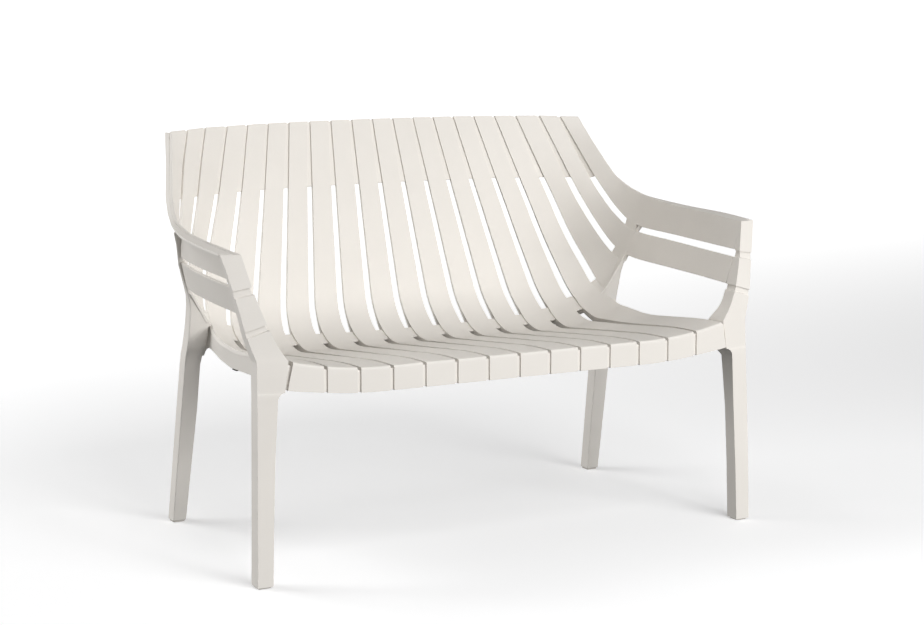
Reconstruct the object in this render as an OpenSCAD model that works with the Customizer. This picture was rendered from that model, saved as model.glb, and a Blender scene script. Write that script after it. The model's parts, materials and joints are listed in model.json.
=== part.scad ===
// Garden bench for two: a moulded slatted shell on four legs, with slatted
// arms that flow out of the back. Millimetres, Z up, the front faces -Y.
// The origin is on the ground, under the middle of the bench.

/* [Seat and back] */
// Height of the seat's front edge
seat_h = 398.5; // [394:0.5:402]
// Height of the top of the back
top_h = 813; // [806:1:818]
// Length of the arched front part of the seat
seat_arch = 118; // [110:1:125]
// Length of the straight part of the seat
seat_flat = 280; // [276:1:284]
// Fall of the seat towards the back, in degrees
seat_fall = 6.2; // [5.8:0.1:6.6]
// Radius of the bend between the seat and the back
bend_r = 132; // [128:1:136]
// Lean of the back from upright, in degrees
lean = 17.7; // [17.2:0.1:18.2]
// Radius of the seat's rounded front edge
edge_r = 4; // [3:0.5:6]
// Height of the apron that the slats form below the front edge
apron_h = 48; // [44:1:50]

/* [Slats] */
// Thickness of a slat
slat_t = 6.6; // [5.5:0.1:7.5]
// Spacing of the slats on the seat
slat_pitch = 68.5; // [68:0.1:69]
// Narrowing of that spacing for each millimetre up the back
pitch_taper = 0.0454; // [0.043:0.0002:0.047]
// Gap between the slats at the front edge
gap_front = 7.2; // [6:0.1:8]
// Gap between the slats at the bend
gap_bend = 17; // [14:0.1:18]
// Gap between the slats where the slots in the back end
gap_mid = 11.6; // [10:0.1:12.5]
// Gap between the slats at the top edge
gap_top = 6.6; // [5.5:0.1:7.5]
// Depth of the flanges under the edges of each seat slat
flange_h = 12; // [8:1:16]
// Thickness of those flanges
flange_w = 4; // [3:0.5:5]
// How far the webs that close the slots lie below the slats
web_recess = 3.4; // [2.5:0.1:4]

/* [Feet] */
// Thickness of a foot glide below the leg
glide_h = 3; // [2:0.5:5]
// Diameter of the plug that holds a glide in its leg
plug_d = 10; // [8:0.5:12]
// Length of that plug
plug_h = 14; // [10:1:20]
// Length of a stacking bumper
bumper_l = 20; // [14:1:26]
// Height of a stacking bumper
bumper_h = 2; // [1.5:0.5:4]

/* [Hidden] */

shell_colour = "#e9e3dc";
glide_colour = "#d8d3cc";
bumper_colour = "#3a3a3a";
deg = 180 / PI;
fit_gap = 0.2;      // clearance between neighbouring pieces
last_seat_line = 7; // the slat lines from -7 to 7 run over the seat
front_foot = [537.5, 16];
rear_foot = [502.5, 552.5];

// ---- General helpers ----
function lerp(a, b, t) = a + (b - a) * t;
function clamp01(t) = min(1, max(0, t));
function ease(t) = let (c = clamp01(t)) c * c * (3 - 2 * c);
function unit(v) = v / norm(v);
function steps(a, b, n) = [for (i = [0:n]) lerp(a, b, i / n)];
function centred(p) = [p[0], p[1] - depth_mid, p[2]];

// Smooth curve through a list of points or numbers; t counts them from 0
function spline(pts, t) =
    let (
        n = len(pts) - 1,
        i = min(n - 1, max(0, floor(t))),
        f = t - i,
        p1 = pts[i],
        p2 = pts[i + 1],
        p0 = i > 0 ? pts[i - 1] : 2 * p1 - p2,
        p3 = i < n - 1 ? pts[i + 2] : 2 * p2 - p1
    )
    0.5 * (2 * p1 + (p2 - p0) * f + (2 * p0 - 5 * p1 + 4 * p2 - p3) * f * f
        + (3 * p1 - p0 - 3 * p2 + p3) * f * f * f);

// Solid through a row of rings that all have the same number of points; end_faces
// lists the triangles that close a ring
quad_end = [[0, 1, 2], [0, 2, 3]];
module loft(rings, end_faces = quad_end) {
    n = len(rings[0]);
    last = n * (len(rings) - 1);
    sides = [
        for (j = [0:n:last - 1], i = [0:n - 1]) let (k = (i + 1) % n)
            each [[j + i, j + n + i, j + n + k], [j + i, j + n + k, j + k]]
    ];
    polyhedron(
        points = [for (ring = rings) for (p = ring) centred(p)],
        faces = concat(
            end_faces,
            sides,
            [for (f = end_faces) [last + f[2], last + f[1], last + f[0]]]
        ),
        convexity = 6
    );
}

// ---- Middle profile of the shell, by the distance s from the front edge ----
arch_r = seat_arch * deg / seat_fall;
arch_end = [arch_r * sin(seat_fall), seat_h - arch_r * (1 - cos(seat_fall))];
s_flat = seat_arch + seat_flat;
flat_end = arch_end + seat_flat * [cos(seat_fall), -sin(seat_fall)];
bend_centre = flat_end + bend_r * [sin(seat_fall), cos(seat_fall)];
bend_end = bend_centre + bend_r * [cos(lean), -sin(lean)];
s_bend = s_flat + bend_r * (seat_fall + 90 - lean) / deg;
s_top = s_bend + (top_h - bend_end[1]) / cos(lean);
s_edge = edge_r * (1 - PI / 2);
s_bottom = s_edge - (apron_h - edge_r);
// Distance from the front edge to the middle of the bench
depth_mid = (bend_end[0] + (s_top - s_bend) * sin(lean) + slat_t * cos(lean)) / 2;

function profile(s) =
    s < s_edge ? [0, seat_h - edge_r - (s_edge - s)] :
    s < edge_r ? let (f = (edge_r - s) * deg / edge_r)
        [edge_r * (1 - sin(f)), seat_h - edge_r * (1 - cos(f))] :
    s < seat_arch ? let (f = s * deg / arch_r)
        [arch_r * sin(f), seat_h - arch_r * (1 - cos(f))] :
    s < s_flat ? arch_end + (s - seat_arch) * [cos(seat_fall), -sin(seat_fall)] :
    s < s_bend ? let (f = (s - s_flat) * deg / bend_r - seat_fall)
        bend_centre + bend_r * [sin(f), -cos(f)] :
    bend_end + (s - s_bend) * [sin(lean), cos(lean)];

// ---- The whole visible surface: u counts the slat lines from the middle ----
slot_top_z = 674;
s_slot_top = s_bend + (slot_top_z + 4 - bend_end[1]) / cos(lean);
wrap_low = [174, 902];   // where the back starts to curve forward, and its radius
wrap_high = [128, 1144]; // the same at the top edge
wrap_low_part = 0.68;    // part of that curve that is left at the bend

function pitch(s, z) = s < s_flat ? slat_pitch
    : slat_pitch - pitch_taper * max(0, z - 392);

// The back curves forward towards the sides
function wrap(x, s, z) =
    let (
        t = clamp01((z - slot_top_z) / (top_h - slot_top_z)),
        start = lerp(wrap_low[0], wrap_high[0], t),
        radius = lerp(wrap_low[1], wrap_high[1], t),
        reach = max(0, abs(x) - start)
    )
    ease((s - s_flat + 135) / 200) * lerp(1, wrap_low_part, ease((slot_top_z - z) / 120))
        * reach * reach / (2 * radius);

// The seat rises towards the arms, and the top edge falls a little
lift_from = 290;  // distance from the middle where the seat starts to rise
lift_reach = 190; // distance over which it rises
lift_front = 24.2;
lift_rear = 3.6;  // what is added at the back of the seat
top_fall = 5.5;
function lift(x, y, s, z) =
    let (
        reach = max(0, (abs(x) - lift_from) / lift_reach),
        fade = s > s_flat + 15 ? 1 - ease((z - 380) / 250) : 1 - 0.2 * below_edge(s)
    )
    (lift_front + lift_rear * pow(min(y, 440) / 415, 3)) * fade * reach * reach
        - top_fall * pow(x / (lift_from + lift_reach), 2) * ease((z - 600) / 70);

// 0 on the seat, growing to 1 at the bottom of the apron
function below_edge(s) = clamp01((edge_r - s) / apron_h);

// The apron's outermost line leans out towards the leg
function flare(u, s) = 12 * sign(u) * ease(abs(u) - 6) * below_edge(s);

// The bend turns up and in towards the rear legs: how far the outermost line moves,
// at equal steps along the surface
corner_start = 250;
corner_step = 40;
corner_shift = [
    [0, 0, 0], [0, 0, 3], [-1, 0, 9], [-1.5, -1, 15], [-5, -3, 21], [-8, -5, 24],
    [-15, -8, 17], [-11, -16, 4], [-5.5, -14, 1], [-1.5, -6, 0], [0, 0, 0], [0, 0, 0]
];

function corner(u, s) =
    let (
        t = min(len(corner_shift) - 1, max(0, (s - corner_start) / corner_step)),
        part = pow(clamp01((abs(u) - 5) / 2), 2)
    )
    part == 0 ? [0, 0, 0] : let (d = part * spline(corner_shift, t)) [sign(u) * d[0], d[1], d[2]];

function shell(u, s) =
    let (
        p = profile(s),
        x = u * pitch(s, p[1])
    )
    [x + flare(u, s), p[0] - wrap(x, s, p[1]), p[1] + lift(x, p[0], s, p[1])] + corner(u, s);

function shell_normal(u, s) =
    unit(cross(shell(u + 0.05, s) - shell(u - 0.05, s), shell(u, s + 0.5) - shell(u, s - 0.5)));

// Point at a depth below the visible surface, with a small fillet inside the front edge
fillet = 1.5;
s_inside = [s_edge - (slat_t - edge_r) - fillet, slat_t + fillet];

function offset_point(u, s, depth) = shell(u, s) - depth * shell_normal(u, s);

function under(u, s, depth) =
    s <= s_inside[0] || s >= s_inside[1] ? offset_point(u, s, depth) :
    lerp(
        offset_point(u, s_inside[0], depth),
        offset_point(u, s_inside[1], depth),
        (s - s_inside[0]) / (s_inside[1] - s_inside[0])
    );

s_widest = s_flat + 55; // where the gaps are widest
function gap_at(s) =
    s < 0 ? gap_front :
    s < s_widest ? lerp(gap_front, gap_bend, s / s_widest) :
    s < s_slot_top ? lerp(gap_bend, gap_mid, (s - s_widest) / (s_slot_top - s_widest)) :
    lerp(gap_mid, gap_top, (s - s_slot_top) / (s_top - s_slot_top));

// Half of a gap, as a part of the slat spacing; the seat's outer edge has no slot
function half_gap(s) = gap_at(s) / 2 / pitch(s, profile(s)[1]);
function outer_gap(s) =
    lerp(gap_front, gap_at(s), ease((s - s_flat - 60) / 80)) / 2 / pitch(s, profile(s)[1]);

// Where a slot in the back ends, and where the slot in the seat begins
function slot_end(u) = 486 + 58 * pow(abs(u) / last_seat_line, 3);
function seat_slot_end(u) = 452 + 24 * pow(abs(u) / 6, 2);

// ---- Slats that run over the seat and the back ----
s_slat = concat(
    [s_bottom, s_inside[0], s_edge],
    [for (f = [60, 30]) edge_r - edge_r * f / deg],
    [edge_r, s_inside[1]],
    steps(24, seat_arch, 2),
    steps(seat_arch + 70, s_flat - 20, 3),
    steps(s_flat, s_bend, 11),
    steps(s_bend + 45, s_slot_top, 4),
    steps(s_slot_top + 50, s_top, 2)
);

// The flanges are full under the seat and run out on the back and in the apron
flange_min = 0.4;
function flange_at(s) =
    flange_min + flange_h * ease((s - s_inside[1]) / 40) * (1 - ease((s - s_flat - 50) / 90));

function seat_slat_ring(k, s) =
    let (
        left = k - 11 + (k == 4 ? outer_gap(s) : half_gap(s)),
        right = k - 10 - (k == 17 ? outer_gap(s) : half_gap(s)),
        w = flange_w / slat_pitch,
        h_left = slat_t + (k == 4 ? flange_min : flange_at(s)),
        h_right = slat_t + (k == 17 ? flange_min : flange_at(s))
    )
    [
        shell(left, s), shell(right, s),
        under(right, s, h_right), under(right - w, s, h_right),
        under(right - w, s, slat_t), under(left + w, s, slat_t),
        under(left + w, s, h_left), under(left, s, h_left)
    ];

channel_end = [[0, 1, 4], [0, 4, 5], [1, 2, 3], [1, 3, 4], [0, 5, 6], [0, 6, 7]];

module seat_slat(k) color(shell_colour)
    loft([for (s = s_slat) seat_slat_ring(k, s)], channel_end);

// ---- Lines of the side slats: from the top edge, round the corner, along the arm ----
line_8 = [
    [399, 618, 810], [421, 590, 745], [443, 558, 674], [462, 531, 618], [484, 495, 560],
    [504, 458, 517], [513, 404, 501], [519, 290, 495], [519, 165, 491], [518, 52.5, 486]
];
line_9 = [
    [444, 602, 808], [467, 569, 742], [488, 528, 675], [502, 498, 634], [514, 468, 602],
    [525, 434, 577], [533, 392, 567], [541, 285, 562], [541, 166, 558], [539, 52.5, 555]
];
line_10 = [
    [485, 585, 807], [501, 541, 748], [519, 495, 690], [525, 475, 674], [531, 452, 661],
    [538, 424, 650], [545, 390, 641], [554, 290, 630], [557, 165, 625], [555, 52.5, 620]
];
rim_line = [
    [494, 600, 805], [510, 556, 744], [530, 507, 684], [537, 484, 668], [545, 456, 653],
    [553, 424, 644], [561, 390, 638], [582, 285, 629], [593, 165, 625], [592, 70, 620.5]
];
arm_end = 9;         // number of the last point on these lines
slot_top_at = 2;     // the point where the slots begin
corner_slot_at = 4.9; // the point where they end
arm_slot_at = 5.65;  // the point where the arm's slot begins
short_slat_end = 5.75;
short_slat_s = 487;  // where the short slat ends on the seat's outermost line
gap_corner = 14;
gap_arm = 12;        // gap in the arm where its slot begins
gap_post = 15;       // and where it ends at the post

function line_gap(t) =
    t < slot_top_at ? lerp(gap_top, gap_mid, t / slot_top_at) :
    t < 5 ? lerp(gap_mid, gap_corner, (t - slot_top_at) / (5 - slot_top_at)) :
    t < 6 ? lerp(gap_corner, gap_arm, t - 5) :
    lerp(gap_arm, gap_post, (t - 6) / (arm_end - 6));

function side_line(j, t) =
    j == 8 ? spline(line_8, t) :
    j == 9 ? spline(line_9, t) :
    j == 10 ? spline(line_10, t) :
    shell(last_seat_line, lerp(s_top, short_slat_s, t / short_slat_end));

// Edge of a side slat: the line moved into the slat by half the gap
function slat_edge(j, other, t) =
    let (
        a = side_line(j, t),
        b = side_line(other, t)
    )
    j == 10 ? a : a + unit(b - a) * line_gap(t) / 2;

function side_normal(a, b, t) =
    let (
        across = side_line(b, t) - side_line(a, t),
        along = side_line(a, t + 0.05) + side_line(b, t + 0.05)
            - side_line(a, t - 0.05) - side_line(b, t - 0.05)
    )
    unit(cross(along, across));

function side_slat_ring(j, t) =
    let (
        a = slat_edge(j, j + 1, t),
        b = slat_edge(j + 1, j, t),
        n = side_normal(j, j + 1, t)
    )
    [b, a, a - slat_t * n, b - slat_t * n];

module side_slat(k) {
    j = k - 11;
    end = k == 18 ? short_slat_end : arm_end;
    color(shell_colour) loft([for (t = steps(0, end, k == 18 ? 14 : 26)) side_slat_ring(j, t)]);
}

// The left half is the right half mirrored
module slat(k) {
    if (k <= 3) mirror([1, 0, 0]) side_slat(21 - k);
    else if (k <= 17) seat_slat(k);
    else side_slat(k);
}

// ---- Webs that close the slots at the top, the bend and the apron ----
function web_ring(u, s) =
    let (g = half_gap(s) - fit_gap / slat_pitch)
    [
        under(u - g, s, web_recess), under(u + g, s, web_recess),
        under(u + g, s, slat_t), under(u - g, s, slat_t)
    ];

module seat_web(u, from, to, n) loft([for (s = steps(from, to, n)) web_ring(u, s)]);

function side_web_ring(j, t, recess) =
    let (
        centre = side_line(j, t),
        dir = unit(side_line(j + 1, t) - side_line(j, t)),
        n = side_normal(j, j + 1, t),
        g = line_gap(t) / 2 - fit_gap
    )
    [
        centre + g * dir - recess * n, centre - g * dir - recess * n,
        centre - g * dir - slat_t * n, centre + g * dir - slat_t * n
    ];

module side_web(j, from, to, n, recess = web_recess)
    loft([for (t = steps(from, to, n)) side_web_ring(j, t, recess)]);

module back_webs() color(shell_colour) {
    for (u = [-last_seat_line:last_seat_line]) seat_web(u, s_slot_top, s_top, 4);
    for (j = [8, 9]) {
        side_web(j, 0, slot_top_at, 4);
        mirror([1, 0, 0]) side_web(j, 0, slot_top_at, 4);
    }
}

module bend_webs() color(shell_colour)
    for (u = [1 - last_seat_line:last_seat_line - 1])
        seat_web(u, seat_slot_end(u), slot_end(u), 3);

// The last groove of the apron reaches from the outermost slat to the leg
end_recess = 6.2;
function end_web_ring(s) =
    let (
        a = under(last_seat_line - half_gap(s) + fit_gap / slat_pitch, s, end_recess),
        b = [leg_edge(a[2]) - fit_gap, a[1], shell(last_seat_line, s)[2]]
    )
    [a, b, b + [0, slat_t, 0], a + [0, slat_t, 0]];

module end_web() loft([for (s = [s_bottom, s_inside[0] - 20, s_inside[0], s_edge]) end_web_ring(s)]);

module apron_webs() color(shell_colour) {
    for (u = [1 - last_seat_line:last_seat_line - 1]) seat_web(u, s_bottom, edge_r * 0.4, 3);
    end_web();
    mirror([1, 0, 0]) end_web();
}

// The seam between the seat's outermost slat and the short slat
function seam_ring(s) =
    let (
        t = short_slat_end * (s_top - s) / (s_top - short_slat_s),
        u = last_seat_line - outer_gap(s) + fit_gap / slat_pitch,
        n = side_normal(last_seat_line, last_seat_line + 1, t),
        high = slat_edge(last_seat_line, last_seat_line + 1, t) - (seam_recess + fit_gap) * n
    )
    [
        under(u, s, seam_recess), high,
        high - (slat_t - seam_recess) * n, under(u, s, slat_t)
    ];
seam_recess = 0.8;

// The short slat's slot ends here, and both corner slots are bridged
module corner_webs() color(shell_colour) {
    loft([for (s = steps(short_slat_s + 1, slot_end(last_seat_line), 4)) seam_ring(s)]);
    side_web(8, corner_slot_at + 0.05, short_slat_end, 4, 0);
    side_web(9, corner_slot_at - 0.1, arm_slot_at, 4, 0);
}

// ---- Rails across the bench, under the slats ----
rail_t = 9;
rail_lines = steps(-6.9, 6.9, 42);

function front_rail_ring(u) =
    let (
        top = under(u, edge_r + 2, slat_t + fit_gap)[2] - 6,
        face = under(u, s_edge - 4, slat_t + fit_gap),
        foot = under(u, s_bottom + 3, slat_t + fit_gap)
    )
    [
        [foot[0], foot[1], foot[2]], [foot[0], foot[1] + rail_t, foot[2]],
        [face[0], face[1] + rail_t, top], [face[0], face[1], top]
    ];

module front_rail() color(shell_colour) loft([for (u = rail_lines) front_rail_ring(u)]);

function bend_rail_ring(u) =
    let (
        a = seat_slot_end(min(6, abs(u))) + 8,
        b = slot_end(min(6, abs(u))) - 4,
        d = slat_t + flange_min + flange_h + fit_gap
    )
    [
        under(u, a, d), under(u, b, d),
        under(u, b, d + rail_t), under(u, a, d + rail_t)
    ];

module bend_rail() color(shell_colour) loft([for (u = rail_lines) bend_rail_ring(u)]);

// ---- Rim that stands out along the shell's side edge and tops the arm ----
rim_t = 5;

function rim_ring(t) =
    let (
        n = side_normal(9, 10, t),
        inner = spline(line_10, t) - (slat_t + fit_gap) * n + [0, t > 8 ? (t - 8) * 11 : 0, 0],
        outer = spline(rim_line, t),
        along = spline(rim_line, t + 0.05) - spline(rim_line, t - 0.05),
        down = unit(cross(outer - inner, along)) * rim_t
    )
    [inner, outer, outer + down, inner + down];

module rim() color(shell_colour) loft([for (t = steps(0, arm_end, 27)) rim_ring(t)]);

// ---- Legs ----
// Each row of the front leg: height, inner x and y, outer x and y, depth of the
// outer part, and the y where the plate behind the inner edge ends
leg_rows = [
    [glide_h, 522, 0, 553, 0, 32, 33],
    [120, 518, 2, 550.5, 2, 31, 34],
    [240, 512.5, 5, 547.5, 6, 30, 36],
    [346, 506.3, 4, 544.5, 10, 30, 41],
    [353, 505.6, 4, 544.3, 10.2, 30, 45],
    [358, 503.6, 4, 544.2, 10.5, 30, 49],
    [362, 500, 4, 544, 10.6, 30, 53],
    [364.2, 496.2, 4, 544, 10.7, 30, 55],
    [365, 491.5, 4, 544, 10.8, 30, 56],
    [394, 487.5, 4.5, 543.5, 12, 29.5, 57]
];
// The same for the post above the seat, at equal steps in height
post_z = 423;
post_step = 28;
post_rows = [
    [483.5, 6, 543.2, 13, 29, 56], [502.2, 9.5, 552.2, 18.4, 27, 46],
    [515.3, 13.8, 560.5, 23.6, 23.3, 48], [525.5, 19.7, 566, 30, 20.4, 52],
    [534.5, 27.5, 572, 37, 17, 52], [542, 35.5, 578.5, 44.2, 13.6, 52.5],
    [548.5, 42.5, 585, 51.5, 10.7, 54], [555, 50, 592, 60, 9, 61]
];
post_top = 619.5;
grooves = [[481, 492], [547, 560]]; // heights of the two grooves, on the inner edge
between_grooves = [506, 520, 534];
groove_wall = 0.4; // height of a groove's sloped wall
plate_swing = 10; // how far the plate behind the seat's corner turns in to the skirt
swing_z = [340, 365, 400, 430]; // heights where it starts, is full, starts back, ends

function post_row(z) = spline(post_rows, (z - post_z) / post_step);

// Inner edge of the front leg at a height
function leg_edge(z) = lookup(z, [for (row = leg_rows) [row[0], row[1]]]);

// The post's grooves run downhill to the outer edge by this drop, which grows from the
// seat upwards and goes back to nothing at the top
tilt_max = 12.5;
tilt_rise = 50;  // height over which it grows
tilt_from = 485; // height where it starts to go back
function tilt(z) =
    tilt_max * ease((z - post_z) / tilt_rise)
        * (1 - clamp01((z - tilt_from) / (post_top - tilt_from)));

function leg_ring(inner, outer, z, drop, recess, swing) =
    let (
        x = inner[0] + recess,
        plate = min(slat_t, (outer[2] - inner[0]) / 2),
        heel = [x + plate - recess, inner[1] + inner[4] - 1, z]
    )
    [
        [x, inner[1] + recess, z], [outer[2], outer[3] + recess, z - drop],
        [outer[2], outer[3] + outer[4], z - drop], heel,
        [heel[0] - swing, inner[5], z], [x - swing, inner[5], z]
    ];

function straight_ring(row) =
    let (
        values = [for (i = [1:6]) row[i]],
        rise = ease((row[0] - swing_z[0]) / (swing_z[1] - swing_z[0])),
        fall = ease((row[0] - swing_z[2]) / (swing_z[3] - swing_z[2])),
        swing = plate_swing * rise * (1 - fall)
    )
    leg_ring(values, values, row[0], 0, 0, swing);

function post_ring(z, recess = 0) = leg_ring(post_row(z), post_row(z - tilt(z)), z, tilt(z), recess, 0);

post_rings = concat(
    [for (z = steps(post_z, grooves[0][0] - 1, 5)) post_ring(z)],
    [for (g = grooves) each [
        post_ring(g[0]), post_ring(g[0] + groove_wall, web_recess),
        post_ring(g[1] - groove_wall, web_recess), post_ring(g[1]),
        if (g[0] == grooves[0][0]) each [for (z = between_grooves) post_ring(z)]
    ]],
    [for (z = steps(grooves[1][1] + 15, post_top, 3)) post_ring(z)]
);

leg_end = [[0, 1, 2], [0, 2, 3], [0, 3, 5], [3, 4, 5]];

// Bore in the foot of a leg for the plug of its glide
module plug_bore(x, y) translate([x, y - depth_mid, 0])
    cylinder(d = plug_d + fit_gap, h = glide_h + plug_h + fit_gap, $fn = 32);

module front_leg() color(shell_colour) difference() {
    loft(concat([for (row = leg_rows) straight_ring(row)], post_rings), leg_end);
    plug_bore(front_foot[0], front_foot[1]);
}

// Each row of the rear leg: height, x and y of the inner and of the outer front edge,
// and depth
rear_leg_rows = [
    [glide_h, 488, 537, 517, 537, 31],
    [250, 477, 488, 512, 488, 31],
    [340, 475.5, 471, 509.5, 471, 31],
    [360, 473, 465, 509, 467, 31],
    [378, 470, 455, 508, 460, 31],
    [400, 468, 447, 507.5, 453, 30],
    [428, 467, 440, 507.5, 445, 28],
    [448, 477, 435, 508.5, 440, 26],
    [468, 487, 430, 509.5, 436, 24],
    [490, 499, 426, 514, 431, 18],
    [507, 509, 424, 520.5, 427, 14],
    [526, 518, 419.5, 528, 422, 11],
    [555, 525, 413, 538, 415, 8],
    [600, 544, 382, 554, 383, 7],
    [629, 558, 350, 570, 353, 8]
];

function rear_leg_ring(row) =
    let (
        z = row[0],
        inner = [row[1], row[2], z],
        outer = [row[3], row[4], z],
        back = [0, row[5], 0]
    )
    [inner, outer, outer + back, inner + back];

module rear_leg() color(shell_colour) difference() {
    loft([for (row = rear_leg_rows) rear_leg_ring(row)]);
    plug_bore(rear_foot[0], rear_foot[1]);
}

// ---- Skirt between the legs, below the seat's outer edge ----
// Each row: distance from the front edge, outer x and z of the lower edge, and how far
// the outer face turns out to meet the rear leg
skirt_rows = [
    [10, 488, 369, 0], [45, 485, 367, 0], [121, 477, 362.5, 0], [220, 473, 361, 0],
    [332, 471, 358, 0], [408, 470, 365, 0], [464, 467, 374, 0], [478, 467, 377, 0.2],
    [488, 467, 378, 0.6], [497, 467, 378, 1.5], [505, 467.5, 377, 3], [512, 468.5, 375, 5],
    [518, 470.5, 372.5, 7], [528, 471.5, 366, 9], [536, 472.5, 357, 10]
];

// The skirt stands back from the slat's edge by this much
skirt_back = 1.5;

function skirt_ring(row) =
    let (
        top = under(last_seat_line - outer_gap(row[0]), row[0], slat_t + flange_min)
            - [skirt_back, 0, 0.5],
        y = top[1]
    )
    [
        [row[1] - slat_t, y, row[2]], [row[1] + row[3], y, row[2]],
        top + [row[3], 0, 0], top - [slat_t, 0, 0]
    ];

module side_skirt() color(shell_colour) loft([for (row = skirt_rows) skirt_ring(row)]);

// ---- Glides and stacking bumpers ----
module glide(x, y) color(glide_colour) translate([x, y - depth_mid, 0]) {
    linear_extrude(glide_h) offset(4, $fn = 24) square([17, 18], center = true);
    cylinder(d = plug_d, h = glide_h + plug_h, $fn = 32);
}

module bumper() color(bumper_colour)
    translate([467.5, 304 - depth_mid, skirt_rows[4][2] - bumper_h])
        linear_extrude(bumper_h) offset(1.5, $fn = 16) square([3, bumper_l - 3], center = true);

slat(1);  // slat_01
slat(2);  // slat_02
slat(3);  // slat_03
slat(4);  // slat_04
slat(5);  // slat_05
slat(6);  // slat_06
slat(7);  // slat_07
slat(8);  // slat_08
slat(9);  // slat_09
slat(10);  // slat_10
slat(11);  // slat_11
slat(12);  // slat_12
slat(13);  // slat_13
slat(14);  // slat_14
slat(15);  // slat_15
slat(16);  // slat_16
slat(17);  // slat_17
slat(18);  // slat_18
slat(19);  // slat_19
slat(20);  // slat_20
back_webs();
bend_webs();
apron_webs();
front_rail();
bend_rail();
mirror([1, 0, 0]) corner_webs();  // corner_webs_left
corner_webs();  // corner_webs_right
mirror([1, 0, 0]) rim();  // rim_left
rim();  // rim_right
mirror([1, 0, 0]) front_leg();  // front_leg_left
front_leg();  // front_leg_right
mirror([1, 0, 0]) rear_leg();  // rear_leg_left
rear_leg();  // rear_leg_right
mirror([1, 0, 0]) side_skirt();  // side_skirt_left
side_skirt();  // side_skirt_right
mirror([1, 0, 0]) glide(front_foot[0], front_foot[1]);  // glide_front_left
glide(front_foot[0], front_foot[1]);  // glide_front_right
mirror([1, 0, 0]) glide(rear_foot[0], rear_foot[1]);  // glide_rear_left
glide(rear_foot[0], rear_foot[1]);  // glide_rear_right
mirror([1, 0, 0]) bumper();  // bumper_left
bumper();  // bumper_right
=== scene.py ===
"""Garden bench: the visual model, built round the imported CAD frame.

Lengths are in millimetres until build(), which turns them into metres; the
materials, the floor and the lights are in metres. x is measured from the bench's
middle, y from the front edge of the seat and z from the ground. Distances s run
from the front edge over the surface, and u counts the slat lines from the middle.
The side pieces are made on the right, and mirrored for the left.
"""
import json
import math

import bmesh
import bpy
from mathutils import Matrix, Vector


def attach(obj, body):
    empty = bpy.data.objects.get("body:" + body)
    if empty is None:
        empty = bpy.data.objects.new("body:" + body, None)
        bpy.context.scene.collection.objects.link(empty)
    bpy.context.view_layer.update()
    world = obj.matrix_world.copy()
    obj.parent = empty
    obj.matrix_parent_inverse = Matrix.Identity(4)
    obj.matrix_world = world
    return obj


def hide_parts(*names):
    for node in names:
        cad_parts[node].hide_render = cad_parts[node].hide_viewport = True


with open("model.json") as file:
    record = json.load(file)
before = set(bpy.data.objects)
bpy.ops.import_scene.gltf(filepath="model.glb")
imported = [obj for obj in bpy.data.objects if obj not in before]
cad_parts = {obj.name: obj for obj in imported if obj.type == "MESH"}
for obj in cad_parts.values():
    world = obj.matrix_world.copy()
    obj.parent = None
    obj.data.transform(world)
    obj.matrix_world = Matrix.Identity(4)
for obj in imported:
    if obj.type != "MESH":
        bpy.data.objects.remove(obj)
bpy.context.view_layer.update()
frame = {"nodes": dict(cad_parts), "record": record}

MM = 0.001
NODES = [part["node"] for part in frame["record"]["subparts"]]

# ---------------------------------------------------------------- sizes
SEAT_H = 398.5          # height of the seat's front edge
TOP_H = 813.0           # height of the top of the back
SEAT_ARCH = 118.0       # length of the arched front part of the seat
SEAT_FLAT = 280.0       # length of the straight part
SEAT_FALL = math.radians(6.2)
BEND_R = 132.0          # radius between the seat and the back
LEAN = math.radians(17.7)
EDGE_R = 4.0            # rounding of the seat's front edge
APRON_H = 48.0          # height of the apron below the front edge
FLARE = 12              # how far the apron's ends turn out

SLATS = 20
SEAT_SLATS = range(4, 18)   # these run over the seat, and the others towards the arms
LAST_LINE = 7           # the lines beside the seat's slats run from -7 to 7
SLAT_T = 6.6            # thickness of a slat
SLAT_PITCH = 68.5       # spacing of the lines on the seat
PITCH_TAPER = 0.0454    # how much closer they get for each millimetre up the back
TAPER_FROM = 392        # height where they start to
# Widths of the gaps on the apron, in the bend, at the top of the slots and at the top edge
GAP_FRONT, GAP_BEND, GAP_MID, GAP_TOP = 7.2, 17.0, 11.6, 6.6
FLANGE_H, FLANGE_W = 12.0, 4.0   # the flange along each lower edge of a seat slat
FLANGE_MIN = 0.4        # what is left of it where it has run out
WEB_RECESS = 3.4        # depth of the webs in the gaps
SLOT_TOP_Z = 674.0      # height where the slots in the back end

EDGE_ROUND = 1.5        # rounding of the moulded edges
FINE_ROUND = 0.8        # rounding of thin edges
SEAM_ROUND = 0.3        # rounding where two pieces lie flush
POST_ROUND = 1.2        # rounding of the front legs and their grooves
LEG_ROUND = 2.5         # rounding of the rear legs
ROUND_SEGMENTS = 3
ROUND_ANGLE = math.radians(32)   # edges that turn by more than this are rounded

WEB_LAP = 0.8           # how far a web runs into the slats beside it
SEAM_LAP = 1.5          # the same at the seams in the corners of the seat
FLUSH_LAP = 2.0         # the same where the web lies flush with the slats
FLUSH_RISE = 0.05       # how far such a web stands up
FIT_GAP = 0.2           # clearance below the slats


# ---------------------------------------------------------------- helpers
def lerp(a, b, t):
    return a + (b - a) * t


def clamp01(t):
    return min(1.0, max(0.0, t))


def ease(t):
    t = clamp01(t)
    return t * t * (3 - 2 * t)


def steps(a, b, n):
    return [lerp(a, b, i / n) for i in range(n + 1)]


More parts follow.
